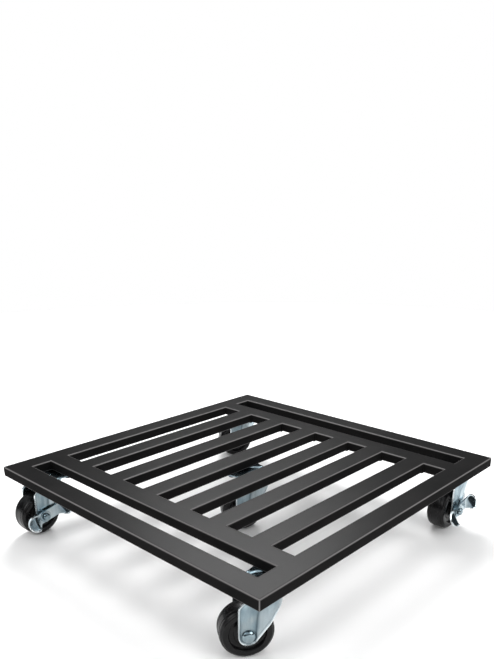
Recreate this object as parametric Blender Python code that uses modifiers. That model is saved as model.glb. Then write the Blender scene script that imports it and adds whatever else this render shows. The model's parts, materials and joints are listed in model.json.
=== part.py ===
"""Furniture dolly: a welded deck of flat steel tubes on five swivel casters, two of them with a side brake.

Metres, +Z up. The floor is z = 0 and the deck's middle stands over the origin. X runs across the slats,
Y runs along them. A caster is modelled with its kingpin on its own Z axis, its axle along its own X and
its wheel trailing towards its own -Y.
"""

import math

import bmesh
import bpy
from mathutils import Matrix, Vector

# Deck
DECK_X = 0.410
DECK_Y = 0.422
TUBE_WIDTH = 0.025
TUBE_DEPTH = 0.012
TUBE_WALL = 0.0012
TUBE_CORNER = 0.0018
HAND_SLOT = 0.024
# The slots between the slats, from +X to -X. They share the width that the tubes leave, all but the
# middle slot, which is set by the caster that hangs under it.
SLOT_SHARES = (26.5, 33.0, 26.5, None, 33.5, 34.0, 28.0)
HOLE_INSIDE_SLAT = 0.00475

# Caster
CASTER_INSET_X = 0.029
HOLE_SPACING = 0.038
PLATE_MARGIN = 0.007
PLATE_SCALLOP = 0.003
PLATE_SHEET = 0.002
DISH_SLOPE = 0.0014
DISH_DEPTH = 0.0018
TRAIL = 0.016
BALL_GAP = 0.0013
CROWN_INSET = 0.0011
CROWN_WELL_RADIUS = 0.0095
CROWN_WELL_DEPTH = 0.003
FORK_SHEET = 0.0015
LEG_END_RADIUS = 0.009
FLARE_HEIGHT = 0.018
FRONT_SKIRT = 0.009
KINGPIN_ROOM = 0.0072
WING_ROOM = 0.0015
LEG_RIM_ANGLE = math.radians(50)
PLAIN_LEAD_SLOPE = 1.46
BRAKED_LEAD_SLOPE = 3.3
BRAKED_TOE_REACH = 0.020
BRAKED_TOE_DROP = 0.001
KINGPIN_RADIUS = 0.004
KINGPIN_HEAD_RADIUS = 0.0078
KINGPIN_HEAD_HEIGHT = 0.0026

# Wheel and axle
WHEEL_RADIUS = 0.025
WHEEL_WIDTH = 0.022
HUB_RADIUS = 0.008
HUB_STANDOUT = 0.001
WEB_RADIUS = 0.0165
WEB_DEPTH = 0.003
AXLE_RADIUS = 0.003
AXLE_HEAD_RADIUS = 0.0062
AXLE_HEAD_HEIGHT = 0.0024
BRAKED_AXLE_END_RADIUS = 0.0046

# Brake rocker
ROCKER_SHEET = 0.0016
ROCKER_STANDOFF = 0.0048
ROCKER_REAR_REACH = 0.023
ROCKER_FRONT_REACH = 0.033
ROCKER_LOBE_RADIUS = 0.008
ROCKER_WAIST = 0.005
ROCKER_PAD_ANGLE = math.radians(35)
ROCKER_REST_ANGLE = math.radians(12.7)
ROCKER_HUB_RADIUS = 0.0068

# Mounting screws
SCREW_RADIUS = 0.0025
SCREW_LENGTH = 0.010
SCREW_HEAD_RADIUS = 0.005
SCREW_HEAD_HEIGHT = 0.0028
SOCKET_RADIUS = 0.0018
SOCKET_DEPTH = 0.0016

# Clearances
SEAT_GAP = 0.0003
SCREW_CLEARANCE = 0.0003
PIVOT_CLEARANCE = 0.0003
HUB_CLEARANCE = 0.0005
SCREW_HEAD_ROOM = 0.0009

ROUND_STEPS = 24
SMALL_STEPS = 12

# Worked-out levels, from the floor up
AXLE_Z = WHEEL_RADIUS
KINGPIN_END_Z = 2 * WHEEL_RADIUS + KINGPIN_ROOM
WELL_TOP_Z = KINGPIN_END_Z + KINGPIN_HEAD_HEIGHT + SEAT_GAP + FORK_SHEET
CROWN_TOP_Z = WELL_TOP_Z + CROWN_WELL_DEPTH
DISH_TOP_Z = CROWN_TOP_Z + BALL_GAP + PLATE_SHEET
PLATE_TOP_Z = DISH_TOP_Z + DISH_DEPTH
PLATE_BOTTOM_Z = PLATE_TOP_Z - PLATE_SHEET
UNDERSIDE_Z = PLATE_TOP_Z + SEAT_GAP
DECK_Z = UNDERSIDE_Z + TUBE_DEPTH / 2

# Worked-out places
END_RAIL_Y = (DECK_Y - TUBE_WIDTH) / 2
SIDE_RAIL_X = (DECK_X - TUBE_WIDTH) / 2
CROSS_RAIL_Y = END_RAIL_Y - TUBE_WIDTH - HAND_SLOT
CASTER_X = DECK_X / 2 - CASTER_INSET_X
CASTER_Y = (END_RAIL_Y + CROSS_RAIL_Y) / 2
DISH_RADIUS = HOLE_SPACING / math.sqrt(2) - SCREW_HEAD_RADIUS - SCREW_HEAD_ROOM - DISH_SLOPE
CROWN_RADIUS = DISH_RADIUS - CROWN_INSET
LEG_OUT = WHEEL_WIDTH / 2 + HUB_STANDOUT + HUB_CLEARANCE + FORK_SHEET
SWIVEL_TURN = math.radians(-35)
ALONG_X = Matrix.Rotation(math.radians(90), 4, "Y")

MATERIALS = {
    "powder_coated_steel": ((0.022, 0.021, 0.021), 0.45, 0.0),
    "zinc_plated_steel": ((0.72, 0.76, 0.78), 0.28, 1.0),
    "black_rubber": ((0.018, 0.017, 0.018), 0.55, 0.0),
    "black_oxide_steel": ((0.02, 0.02, 0.022), 0.35, 0.6),
}


def clear_scene():
    for obj in list(bpy.data.objects):
        bpy.data.objects.remove(obj)


def new_collection(name):
    collection = bpy.data.collections.new(name)
    bpy.context.scene.collection.children.link(collection)
    return collection


def make_materials():
    for name, (colour, roughness, metallic) in MATERIALS.items():
        material = bpy.data.materials.new(name)
        material.use_nodes = True
        shader = material.node_tree.nodes["Principled BSDF"]
        shader.inputs["Base Color"].default_value = (*colour, 1.0)
        shader.inputs["Roughness"].default_value = roughness
        shader.inputs["Metallic"].default_value = metallic
        material.diffuse_color = (*colour, 1.0)


def add_object(name, mesh, collection, material=None, parent=None, matrix=None):
    """Makes an object from the mesh, places it in its parent's space and gives it its material."""
    obj = bpy.data.objects.new(name, mesh)
    collection.objects.link(obj)
    obj.parent = parent
    if matrix is not None:
        obj.matrix_local = matrix
    if material and not mesh.materials:
        mesh.materials.append(bpy.data.materials[material])
    return obj


def add_empty(name, collection, parent, matrix):
    """An axis that moving pieces hang on."""
    empty = bpy.data.objects.new(name, None)
    collection.objects.link(empty)
    empty.parent = parent
    empty.matrix_local = matrix
    return empty


def mesh_of_outlines(name, outlines, thickness):
    """A flat sheet with these outlines, the inner ones being holes, centred on z = 0."""
    curve = bpy.data.curves.new(name, "CURVE")
    curve.dimensions = "2D"
    curve.fill_mode = "BOTH"
    curve.extrude = thickness / 2
    for points in outlines:
        spline = curve.splines.new("POLY")
        spline.points.add(len(points) - 1)
        for point, (x, y) in zip(spline.points, points):
            point.co = (x, y, 0.0, 1.0)
        spline.use_cyclic_u = True
    holder = bpy.data.objects.new(name + "_outline", curve)
    bpy.context.scene.collection.objects.link(holder)
    graph = bpy.context.evaluated_depsgraph_get()
    mesh = bpy.data.meshes.new_from_object(holder.evaluated_get(graph))
    bpy.data.objects.remove(holder)
    shape = bmesh.new()
    shape.from_mesh(mesh)
    bmesh.ops.remove_doubles(shape, verts=shape.verts, dist=1e-6)
    bmesh.ops.recalc_face_normals(shape, faces=shape.faces)
    shape.to_mesh(mesh)
    shape.free()
    mesh.name = name
    return mesh


def rounded_rectangle(width, height, radius, steps=2):
    """The outline of a rectangle with round corners, anticlockwise. With no radius it has four points."""
    corners = ((1, 1, 0), (-1, 1, 90), (-1, -1, 180), (1, -1, 270))
    points = []
    for side_x, side_y, start in corners:
        for step in range(steps + 1 if radius else 1):
            angle = math.radians(start + 90 * step / steps)
            x = side_x * (width / 2 - radius) + radius * math.cos(angle)
            y = side_y * (height / 2 - radius) + radius * math.sin(angle)
            points.append((x, y))
    return points


def profile_mesh(name, points, closed):
    """A turned shape's profile: (radius, z) points that run down the outer side."""
    count = len(points)
    edges = [(i, (i + 1) % count) for i in range(count if closed else count - 1)]
    mesh = bpy.data.meshes.new(name)
    mesh.from_pydata([(r, 0.0, z) for r, z in points], edges, [])
    return mesh


def turn(obj, steps):
    """Turns the object's profile about its own Z axis."""
    screw = obj.modifiers.new("turn", "SCREW")
    screw.steps = steps
    screw.render_steps = steps
    screw.use_merge_vertices = True
    screw.merge_threshold = 1e-5
    screw.use_smooth_shade = True


def thicken(obj, thickness, offset):
    """Gives a pressed skin its sheet thickness: inwards from it at -1, outwards at 1."""
    sheet = obj.modifiers.new("sheet", "SOLIDIFY")
    sheet.thickness = thickness
    sheet.offset = offset
    sheet.use_even_offset = True


def cone_mesh(name, bottom_radius, top_radius, bottom_z, top_z, steps):
    """A solid cone or cylinder standing on its own Z axis between two heights."""
    height = top_z - bottom_z
    shape = bmesh.new()
    bmesh.ops.create_cone(
        shape,
        cap_ends=True,
        segments=steps,
        radius1=bottom_radius,
        radius2=top_radius,
        depth=height,
        matrix=Matrix.Translation((0.0, 0.0, bottom_z + height / 2)),
    )
    mesh = bpy.data.meshes.new(name)
    shape.to_mesh(mesh)
    shape.free()
    return mesh


def merge_flat_faces(mesh):
    """Joins the faces that a Boolean splits on one plane."""
    shape = bmesh.new()
    shape.from_mesh(mesh)
    bmesh.ops.remove_doubles(shape, verts=shape.verts, dist=1e-6)
    bmesh.ops.dissolve_limit(
        shape, angle_limit=math.radians(0.2), verts=shape.verts, edges=shape.edges
    )
    shape.to_mesh(mesh)
    shape.free()


def combine(base, steps):
    """Joins other shapes to an object, or cuts them from it, in turn, and returns the finished mesh.

    Each step is (Boolean operation, mesh, place). The meshes that make it are used up.
    """
    helpers = []
    for operation, mesh, place in steps:
        helper = bpy.data.objects.new(mesh.name, mesh)
        bpy.context.scene.collection.objects.link(helper)
        helper.matrix_world = place
        boolean = base.modifiers.new(mesh.name, "BOOLEAN")
        boolean.operation = operation
        boolean.object = helper
        helpers.append(helper)
    bpy.context.view_layer.update()
    graph = bpy.context.evaluated_depsgraph_get()
    finished = bpy.data.meshes.new_from_object(base.evaluated_get(graph))
    finished.name = base.name
    for helper in [base] + helpers:
        bpy.data.objects.remove(helper)
    merge_flat_faces(finished)
    return finished


def start_shape(name, mesh):
    """An object to build on, whose finished mesh combine() takes."""
    obj = bpy.data.objects.new(name, mesh)
    bpy.context.scene.collection.objects.link(obj)
    return obj


# ---- Deck ----------------------------------------------------------------------------------------------


def slat_centres():
    """The X of each slat's middle, from +X to -X."""
    middle_slot = HOLE_SPACING - 2 * HOLE_INSIDE_SLAT
    slat_count = len(SLOT_SHARES) - 1
    free = DECK_X - (slat_count + 2) * TUBE_WIDTH - middle_slot
    one_share = free / sum(share for share in SLOT_SHARES if share)
    centres = []
    edge = DECK_X / 2 - TUBE_WIDTH
    for share in SLOT_SHARES[:-1]:
        edge -= share * one_share if share else middle_slot
        centres.append(edge - TUBE_WIDTH / 2)
        edge -= TUBE_WIDTH
    return centres


def tube_mesh(name, length, mitred):
    """A rectangular tube along Y. A mitred one keeps its full length on its +X side."""
    outer = rounded_rectangle(TUBE_WIDTH, TUBE_DEPTH, TUBE_CORNER)
    inner = rounded_rectangle(TUBE_WIDTH - 2 * TUBE_WALL, TUBE_DEPTH - 2 * TUBE_WALL, 0.0)
    mesh = mesh_of_outlines(name, (outer, inner), length)
    mesh.transform(Matrix.Rotation(math.radians(90), 4, "X"))
    if mitred:
        for vertex in mesh.vertices:
            setback = TUBE_WIDTH / 2 - vertex.co.x + SEAT_GAP / math.sqrt(2)
            vertex.co.y -= math.copysign(setback, vertex.co.y)
    return mesh


def add_tube(name, mesh, centre, turn_degrees, parts, hole_cutters):
    matrix = Matrix.Translation((*centre, DECK_Z)) @ Matrix.Rotation(
        math.radians(turn_degrees), 4, "Z"
    )
    tube = add_object(name, mesh, parts, "powder_coated_steel", None, matrix)
    holes = tube.modifiers.new("screw_holes", "BOOLEAN")
    holes.operand_type = "COLLECTION"
    holes.collection = hole_cutters


def make_deck(parts, hole_cutters):
    side = tube_mesh("side_rail", DECK_Y, mitred=True)
    end = tube_mesh("end_rail", DECK_X, mitred=True)
    cross = tube_mesh("cross_rail", DECK_X - 2 * (TUBE_WIDTH + SEAT_GAP), mitred=False)
    slat_length = 2 * (CROSS_RAIL_Y - TUBE_WIDTH / 2 - SEAT_GAP)
    slat = tube_mesh("slat", slat_length, mitred=False)
    places = [
        ("side_rail_right", side, (SIDE_RAIL_X, 0.0), 0),
        ("side_rail_left", side, (-SIDE_RAIL_X, 0.0), 180),
        ("end_rail_rear", end, (0.0, END_RAIL_Y), 90),
        ("end_rail_front", end, (0.0, -END_RAIL_Y), -90),
        ("cross_rail_rear", cross, (0.0, CROSS_RAIL_Y), 90),
        ("cross_rail_front", cross, (0.0, -CROSS_RAIL_Y), 90),
    ]
    for number, x in enumerate(slat_centres(), 1):
        places.append((f"slat_{number}", slat, (x, 0.0), 0))
    for name, mesh, centre, turn_degrees in places:
        add_tube(name, mesh, centre, turn_degrees, parts, hole_cutters)


# ---- Mounting plates, screws and kingpins --------------------------------------------------------------


def plate_outline():
    """A square round its four holes, with scalloped edges."""
    reach = HOLE_SPACING / 2
    half = reach + PLATE_MARGIN
    quarter = []
    for step in range(4):
        angle = math.radians(90 * step / 3)
        x = reach + PLATE_MARGIN * math.cos(angle)
        y = reach + PLATE_MARGIN * math.sin(angle)
        quarter.append((x, y))
    for share in (0.5, 0.0, -0.5):
        quarter.append((share * reach, half - PLATE_SCALLOP * (1 - share**2)))
    points = []
    for turns in range(4):
        rotation = Matrix.Rotation(math.radians(90 * turns), 2)
        points += [tuple(rotation @ Vector(point)) for point in quarter]
    return points


def plate_mesh():
    """A stamped plate: a flat sheet whose middle is pressed down into a dish, the upper ball race's seat."""
    sheet = mesh_of_outlines("mounting_plate", (plate_outline(),), PLATE_SHEET)
    sheet.transform(Matrix.Translation((0.0, 0.0, PLATE_BOTTOM_Z + PLATE_SHEET / 2)))
    lean = DISH_SLOPE / DISH_DEPTH
    middle_z = PLATE_BOTTOM_Z + PLATE_SHEET / 2
    dish_bottom_z = DISH_TOP_Z - PLATE_SHEET
    above_z = PLATE_TOP_Z + PLATE_SHEET
    outside = cone_mesh(
        "dish_outside",
        DISH_RADIUS,
        DISH_RADIUS + lean * (middle_z - dish_bottom_z),
        dish_bottom_z,
        middle_z,
        ROUND_STEPS,
    )
    inside = cone_mesh(
        "dish_inside",
        DISH_RADIUS - DISH_SLOPE / 2,
        DISH_RADIUS - DISH_SLOPE / 2 + lean * (above_z - DISH_TOP_Z),
        DISH_TOP_Z,
        above_z,
        ROUND_STEPS,
    )
    bore_radius = KINGPIN_RADIUS + PIVOT_CLEARANCE
    bore = cone_mesh("kingpin_bore", bore_radius, bore_radius, 0.0, above_z, SMALL_STEPS)
    steps = [("UNION", outside, Matrix()), ("DIFFERENCE", inside, Matrix()), ("DIFFERENCE", bore, Matrix())]
    for x, y in hole_pattern():
        hole = screw_hole_mesh(PLATE_BOTTOM_Z - PLATE_SHEET, above_z)
        steps.append(("DIFFERENCE", hole, Matrix.Translation((x, y, 0.0))))
    return combine(start_shape("mounting_plate", sheet), steps)


def hole_pattern():
    reach = HOLE_SPACING / 2
    return [(reach, reach), (-reach, reach), (-reach, -reach), (reach, -reach)]


def screw_hole_mesh(bottom_z, top_z):
    radius = SCREW_RADIUS + SCREW_CLEARANCE
    return cone_mesh("screw_hole", radius, radius, bottom_z, top_z, SMALL_STEPS)


def kingpin_profile():
    """A rivet: a flat head in the plate's dish, a shank through plate and crown, a domed head below."""
    head_bottom = DISH_TOP_Z + SEAT_GAP
    lower_top = WELL_TOP_Z - FORK_SHEET - SEAT_GAP
    return [
        (0.0, PLATE_TOP_Z - SEAT_GAP),
        (KINGPIN_HEAD_RADIUS, PLATE_TOP_Z - SEAT_GAP),
        (KINGPIN_HEAD_RADIUS, head_bottom),
        (KINGPIN_RADIUS, head_bottom),
        (KINGPIN_RADIUS, lower_top),
        (KINGPIN_HEAD_RADIUS, lower_top),
        (KINGPIN_HEAD_RADIUS, lower_top - 0.4 * KINGPIN_HEAD_HEIGHT),
        (0.6 * KINGPIN_HEAD_RADIUS, lower_top - 0.9 * KINGPIN_HEAD_HEIGHT),
        (0.0, lower_top - KINGPIN_HEAD_HEIGHT),
    ]


def screw_profile():
    """A flanged button-head screw, head down, with the underside of its head at z = 0."""
    return [
        (0.0, SCREW_LENGTH),
        (SCREW_RADIUS, SCREW_LENGTH),
        (SCREW_RADIUS, 0.0),
        (SCREW_HEAD_RADIUS, 0.0),
        (SCREW_HEAD_RADIUS, -0.4 * SCREW_HEAD_HEIGHT),
        (0.66 * SCREW_HEAD_RADIUS, -SCREW_HEAD_HEIGHT),
        (0.0, -SCREW_HEAD_HEIGHT),
    ]


def screw_mesh():
    blank = start_shape("screw", profile_mesh("screw", screw_profile(), False))
    turn(blank, SMALL_STEPS)
    deepest = SOCKET_DEPTH - SCREW_HEAD_HEIGHT
    socket = cone_mesh("socket", SOCKET_RADIUS, SOCKET_RADIUS, -2 * SCREW_HEAD_HEIGHT, deepest, 6)
    return combine(blank, [("DIFFERENCE", socket, Matrix())])


# ---- Forks ---------------------------------------------------------------------------------------------


def leg_lower_edge(y, braked):
    """The height of a fork wall's lower edge over y: round below the axle, then rising to the crown."""
    along = y + TRAIL
    if braked:
        toe_reach = BRAKED_TOE_REACH
        toe_z = AXLE_Z - BRAKED_TOE_DROP
        slope = BRAKED_LEAD_SLOPE
        end_z = AXLE_Z - LEG_END_RADIUS
        if along >= toe_reach:
            return toe_z + slope * (along - toe_reach)
        if along >= 0.0:
            return end_z + (toe_z - end_z) * along / toe_reach
    else:
        lean = math.atan(1 / PLAIN_LEAD_SLOPE)
        toe_reach = LEG_END_RADIUS * math.cos(lean)
        toe_z = AXLE_Z - LEG_END_RADIUS * math.sin(lean)
        if along >= toe_reach:
            return toe_z + PLAIN_LEAD_SLOPE * (along - toe_reach)
    return AXLE_Z - math.sqrt(max(LEG_END_RADIUS**2 - along**2, 0.0))


def edge_over_wheel(plan, low):
    """The lower edge again, raised where the wall bends in over the wheel so that it clears the tread."""
    if abs(plan.x) - FORK_SHEET > WHEEL_WIDTH / 2 + HUB_CLEARANCE:
        return low
    clear_radius = WHEEL_RADIUS + WING_ROOM
    return max(low, AXLE_Z + math.sqrt(max(clear_radius**2 - (plan.y + TRAIL) ** 2, 0.0)))


def wall_columns():
    """Plan points of the fork wall from the +X leg's trailing edge round the front to the -X leg's,
    each with the angle at which it meets the crown's rim."""
    back = TRAIL + LEG_END_RADIUS
    leg = []
    for share in (-1.0, -0.8, -0.35, 0.2, 0.82):
        leg.append(-TRAIL + share * LEG_END_RADIUS)
    leg.append(-0.3 * TRAIL)
    columns = []
    for y in leg:
        columns.append((Vector((LEG_OUT, y)), LEG_RIM_ANGLE * y / back))
    for step in range(7):
        angle = math.pi * step / 6
        columns.append((Vector((math.cos(angle), math.sin(angle))) * LEG_OUT, angle))
    for y in reversed(leg):
        columns.append((Vector((-LEG_OUT, y)), math.pi - LEG_RIM_ANGLE * y / back))
    return columns


def fork_skin(name, braked):
    """The outer skin of a pressed fork: a crown of rings, and a wall that flares up to the crown's rim."""
    columns = wall_columns()
    back_angles = [math.pi + LEG_RIM_ANGLE + (math.pi - 2 * LEG_RIM_ANGLE) * i / 4 for i in (1, 2, 3)]
    angles = [angle for _, angle in columns] + back_angles
    round_over = 0.0011
    rim_z = CROWN_TOP_Z - round_over
    rings = (
        (CROWN_RADIUS, rim_z),
        (CROWN_RADIUS - round_over, CROWN_TOP_Z),
        (CROWN_WELL_RADIUS + round_over, CROWN_TOP_Z),
        (CROWN_WELL_RADIUS, WELL_TOP_Z),
        (KINGPIN_RADIUS + PIVOT_CLEARANCE, WELL_TOP_Z),
    )
    shape = bmesh.new()
    grid = []
    for radius, z in rings:
        ring = []
        for angle in angles:
            ring.append(shape.verts.new((radius * math.cos(angle), radius * math.sin(angle), z)))
        grid.append(ring)
    count = len(angles)
    for outer, inner in zip(grid, grid[1:]):
        for i in range(count):
            j = (i + 1) % count
            shape.faces.new((outer[i], outer[j], inner[j], inner[i]))
    flare_row = []
    edge_row = []
    for plan, angle in columns:
        rim = Vector((math.cos(angle), math.sin(angle))) * CROWN_RADIUS
        low = edge_over_wheel(plan, leg_lower_edge(plan.y, braked))
        low = min(low, rim_z - FRONT_SKIRT)
        flare_z = max(rim_z - FLARE_HEIGHT, (rim_z + low) / 2)
        for row, z in ((flare_row, flare_z), (edge_row, low)):
            point = plan.lerp(rim, max(0.0, 1.0 - (rim_z - z) / FLARE_HEIGHT))
            row.append(shape.verts.new((point.x, point.y, z)))
    wall = (grid[0][: len(columns)], flare_row, edge_row)
    for upper, lower in zip(wall, wall[1:]):
        for i in range(len(columns) - 1):
            shape.faces.new((upper[i], lower[i], lower[i + 1], upper[i + 1]))
    bmesh.ops.recalc_face_normals(shape, faces=shape.faces)
    mesh = bpy.data.meshes.new(name)
    shape.to_mesh(mesh)
    shape.free()
    mesh.shade_smooth()
    mesh.set_sharp_from_angle(angle=math.radians(35))
    return mesh


def fork_mesh(name, braked):
    blank = start_shape(name, fork_skin(name, braked))
    thicken(blank, FORK_SHEET, -1.0)
    radius = AXLE_RADIUS + SCREW_CLEARANCE
    hole = cone_mesh("axle_hole", radius, radius, -2 * LEG_OUT, 2 * LEG_OUT, SMALL_STEPS)
    place = Matrix.Translation((0.0, -TRAIL, AXLE_Z)) @ ALONG_X
    return combine(blank, [("DIFFERENCE", hole, place)])


# ---- Wheels and axles ----------------------------------------------------------------------------------


def wheel_profile():
    """Half of the wheel's section, from its bore out to the middle of its tread, mirrored for the other.

    The flats of the turned wheel lie on its true radius.
    """
    grow = 1 / math.cos(math.pi / ROUND_STEPS)
    side = WHEEL_WIDTH / 2
    bore = AXLE_RADIUS + PIVOT_CLEARANCE
    hub_end = side + HUB_STANDOUT
    half = [
        (bore, hub_end),
        (HUB_RADIUS, hub_end),
        (HUB_RADIUS + 0.001, side - WEB_DEPTH),
        (WEB_RADIUS, side - WEB_DEPTH),
        (WEB_RADIUS + 0.001, side),
        (WHEEL_RADIUS - 0.0025, side),
        (WHEEL_RADIUS, side - 0.004),
    ]
    outline = [(r * grow, z) for r, z in half]
    outline[0] = half[0]
    return outline + [(r, -z) for r, z in reversed(outline)]


def axle_profile(near_end, far_end, far_radius):
    """A rivet with a domed head at each end, its shank from near_end to far_end along Z."""
    return [
        (0.0, far_end + AXLE_HEAD_HEIGHT),
        (0.6 * far_radius, far_end + 0.85 * AXLE_HEAD_HEIGHT),
        (far_radius, far_end + 0.2 * AXLE_HEAD_HEIGHT),
        (far_radius, far_end),
        (AXLE_RADIUS, far_end),
        (AXLE_RADIUS, near_end),
        (AXLE_HEAD_RADIUS, near_end),
        (AXLE_HEAD_RADIUS, near_end - 0.2 * AXLE_HEAD_HEIGHT),
        (0.6 * AXLE_HEAD_RADIUS, near_end - 0.85 * AXLE_HEAD_HEIGHT),
        (0.0, near_end - AXLE_HEAD_HEIGHT),
    ]


# ---- Brake rockers -------------------------------------------------------------------------------------


def rocker_stations():
    """(distance along the rocker, half width, how much of the pad's tilt it has) from rear to front."""
    lobe = ROCKER_LOBE_RADIUS
    rear = -ROCKER_REAR_REACH + lobe
    front = ROCKER_FRONT_REACH - lobe
    stations = []
    for degrees in (20, 50, 90):
        angle = math.radians(degrees)
        stations.append((rear - lobe * math.cos(angle), lobe * math.sin(angle), 1.0))
    necks = []
    for share in (0.5, 1.0):
        ease = (1 + math.cos(math.pi * share)) / 2
        necks.append((share * lobe, ROCKER_WAIST + (lobe - ROCKER_WAIST) * ease, ease))
    stations += [(rear + in_from, half_width, tilt) for in_from, half_width, tilt in necks]
    stations.append(((rear + front) / 2, ROCKER_WAIST, 0.0))
    stations += [(front - in_from, half_width, tilt) for in_from, half_width, tilt in reversed(necks)]
    for degrees in (90, 50, 20):
        angle = math.radians(degrees)
        stations.append((front + lobe * math.cos(angle), lobe * math.sin(angle), 1.0))
    return stations


def rocker_skin():
    """The inner skin of the rocker: a bow-tie plate whose two lobes lean out to make pads for a foot."""
    face_x = LEG_OUT + ROCKER_STANDOFF
    shape = bmesh.new()
    rows = []
    for along, half_width, tilt in rocker_stations():
        row = []
        for across in (-1, 0, 1):
            z = across * half_width
            lean = math.tan(ROCKER_PAD_ANGLE) * tilt * (ROCKER_LOBE_RADIUS - z)
            row.append(shape.verts.new((face_x + lean * 0.7, along, z * (1 - 0.12 * tilt))))
        rows.append(row)
    for first, second in zip(rows, rows[1:]):
        for i in (0, 1):
            shape.faces.new((first[i], second[i], second[i + 1], first[i + 1]))
    bmesh.ops.recalc_face_normals(shape, faces=shape.faces)
    if shape.faces[0].normal.x < 0:
        bmesh.ops.reverse_faces(shape, faces=shape.faces)
    mesh = bpy.data.meshes.new("brake_rocker")
    shape.to_mesh(mesh)
    shape.free()
    return mesh


def rocker_mesh():
    """The rocker with its cam hub, which fills the space to the fork's leg and turns on the axle."""
    blank = start_shape("brake_rocker", rocker_skin())
    thicken(blank, ROCKER_SHEET, 1.0)
    hub_end = LEG_OUT + ROCKER_STANDOFF + 0.6 * ROCKER_SHEET
    hub = cone_mesh("hub", ROCKER_HUB_RADIUS, ROCKER_HUB_RADIUS, LEG_OUT + SEAT_GAP, hub_end, 16)
    radius = AXLE_RADIUS + PIVOT_CLEARANCE
    bore = cone_mesh("bore", radius, radius, 0.0, 2 * hub_end, SMALL_STEPS)
    return combine(blank, [("UNION", hub, ALONG_X), ("DIFFERENCE", bore, ALONG_X)])


# ---- Casters -------------------------------------------------------------------------------------------


def caster_places():
    """(name, x, y, swivel angle, has a brake)"""
    centres = slat_centres()
    middle_x = (centres[2] + centres[3]) / 2
    return (
        ("front_right", CASTER_X, -CASTER_Y, SWIVEL_TURN, False),
        ("rear_right", CASTER_X, CASTER_Y, 0.0, True),
        ("rear_left", -CASTER_X, CASTER_Y, SWIVEL_TURN, False),
        ("front_left", -CASTER_X, -CASTER_Y, 0.0, True),
        ("centre", middle_x, 0.0, SWIVEL_TURN, False),
    )


def shared_meshes():
    side = LEG_OUT + SEAT_GAP
    rocker_side = LEG_OUT + ROCKER_STANDOFF + ROCKER_SHEET + SEAT_GAP
    return {
        "plate": plate_mesh(),
        "screw_hole": screw_hole_mesh(UNDERSIDE_Z - TUBE_DEPTH / 4, DECK_Z),
        "kingpin": profile_mesh("kingpin", kingpin_profile(), False),
        "screw": screw_mesh(),
        "plain_fork": fork_mesh("fork", False),
        "braked_fork": fork_mesh("braked_fork", True),
        "wheel": profile_mesh("wheel", wheel_profile(), True),
        "plain_axle": profile_mesh("axle", axle_profile(-side, side, AXLE_HEAD_RADIUS), False),
        "braked_axle": profile_mesh(
            "braked_axle", axle_profile(-side, rocker_side, BRAKED_AXLE_END_RADIUS), False
        ),
        "rocker": rocker_mesh(),
    }


def make_fixed_side(name, place, meshes, parts, hole_cutters):
    """What is fixed to the deck: the plate, its four screws and the kingpin."""
    centre = Matrix.Translation((*place, 0.0))
    add_object("plate_" + name, meshes["plate"], parts, "zinc_plated_steel", None, centre)
    kingpin = add_object("kingpin_" + name, meshes["kingpin"], parts, "zinc_plated_steel", None, centre)
    turn(kingpin, SMALL_STEPS)
    for number, (x, y) in enumerate(hole_pattern(), 1):
        label = f"screw_{name}_{number}"
        bolt_line = centre @ Matrix.Translation((x, y, 0.0))
        hole = add_object(label + "_hole", meshes["screw_hole"], hole_cutters, None, None, bolt_line)
        hole.hide_render = True
        hole.display_type = "WIRE"
        seat = bolt_line @ Matrix.Translation((0.0, 0.0, PLATE_BOTTOM_Z - SEAT_GAP))
        add_object(label, meshes["screw"], parts, "black_oxide_steel", None, seat)


def make_moving_side(name, place, angle, braked, meshes, parts):
    """What swivels: the fork and its axle, and on them the wheel and, on some, the brake's rocker."""
    stand = Matrix.Translation((*place, 0.0)) @ Matrix.Rotation(angle, 4, "Z")
    swivel = add_empty("swivel_axis_" + name, parts, None, stand)
    axis = add_empty("axle_axis_" + name, parts, swivel, Matrix.Translation((0.0, -TRAIL, AXLE_Z)))
    kind = "braked_" if braked else "plain_"
    add_object("fork_" + name, meshes[kind + "fork"], parts, "zinc_plated_steel", swivel)
    axle = add_object("axle_" + name, meshes[kind + "axle"], parts, "zinc_plated_steel", axis, ALONG_X)
    turn(axle, SMALL_STEPS)
    flat_down = Matrix.Rotation(math.pi / ROUND_STEPS, 4, "Z")
    wheel = add_object("wheel_" + name, meshes["wheel"], parts, "black_rubber", axis, ALONG_X @ flat_down)
    turn(wheel, ROUND_STEPS)
    if braked:
        tilt = Matrix.Rotation(ROCKER_REST_ANGLE, 4, "X")
        add_object("brake_rocker_" + name, meshes["rocker"], parts, "zinc_plated_steel", axis, tilt)


def main():
    clear_scene()
    make_materials()
    parts = new_collection("furniture_dolly")
    hole_cutters = new_collection("screw_holes")
    meshes = shared_meshes()
    make_deck(parts, hole_cutters)
    for name, x, y, angle, braked in caster_places():
        make_fixed_side(name, (x, y), meshes, parts, hole_cutters)
        make_moving_side(name, (x, y), angle, braked, meshes, parts)


main()
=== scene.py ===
import json
import math

import bpy
import numpy as np
from mathutils import Matrix, Vector


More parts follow.
